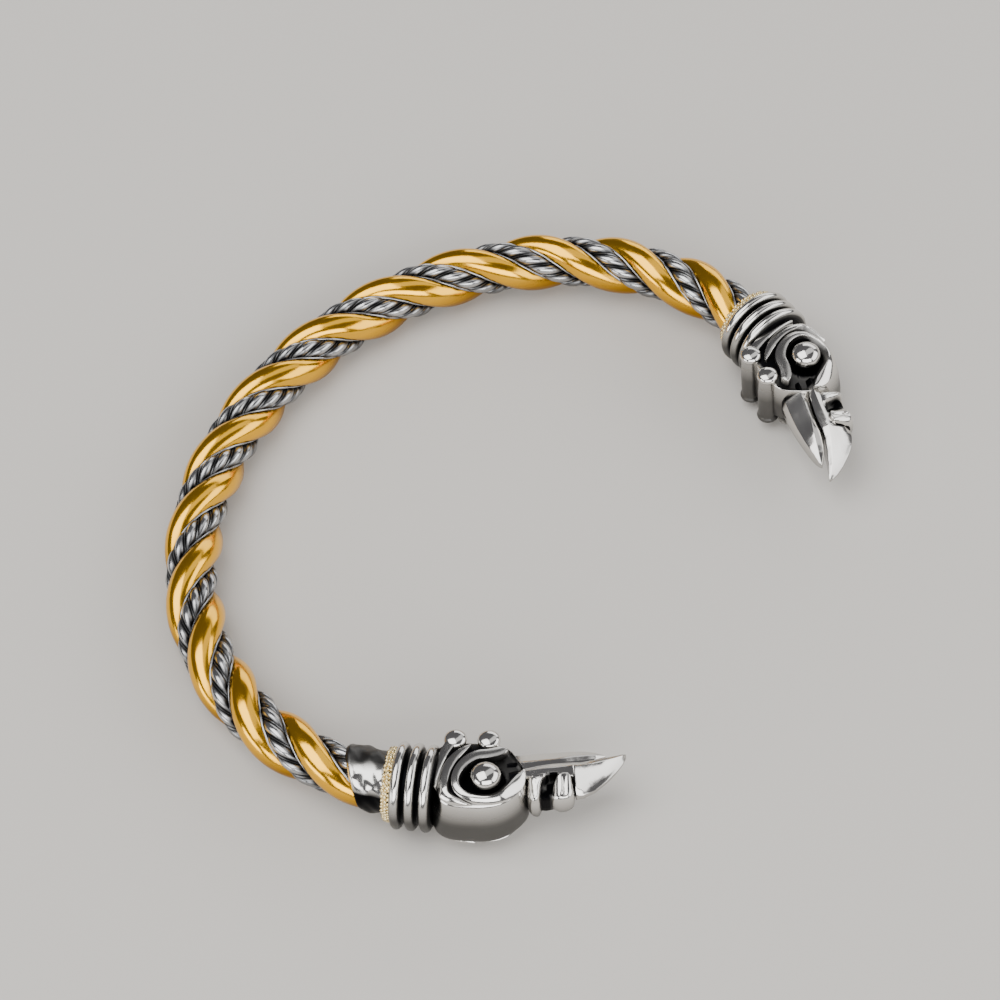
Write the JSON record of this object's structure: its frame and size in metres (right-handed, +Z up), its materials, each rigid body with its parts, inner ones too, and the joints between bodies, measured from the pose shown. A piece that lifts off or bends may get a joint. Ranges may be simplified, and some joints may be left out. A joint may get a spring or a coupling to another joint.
{
  "type": "torc bracelet",
  "caption": "Open wrist torc of smooth gold and twisted silver strands laid as a rope, with a ribbed collar and a knotwork bird's head at each end.",
  "frame": {"origin": "centre of the bounding box at the surface on which the torc rests", "axes": "+Z up, the way the wrist passes through the ring; -Y from the ring to its open gap; +X along the longest side, from the left head to the right head"},
  "size_m": [0.0778, 0.0595, 0.0092],
  "materials": {
    "gold": "polished gilt bronze rod",
    "strand_silver": "polished silver strand with blackened recesses",
    "cast_silver": "cast silver, polished on the raised parts and blackened in the recesses"
  },
  "bodies": {
    "root": {"gold_strand_1": "gold", "gold_strand_2": "gold", "silver_strand_1": "strand_silver", "silver_strand_2": "strand_silver", "right_head": "cast_silver", "left_head": "cast_silver"}
  },
  "joints": []
}
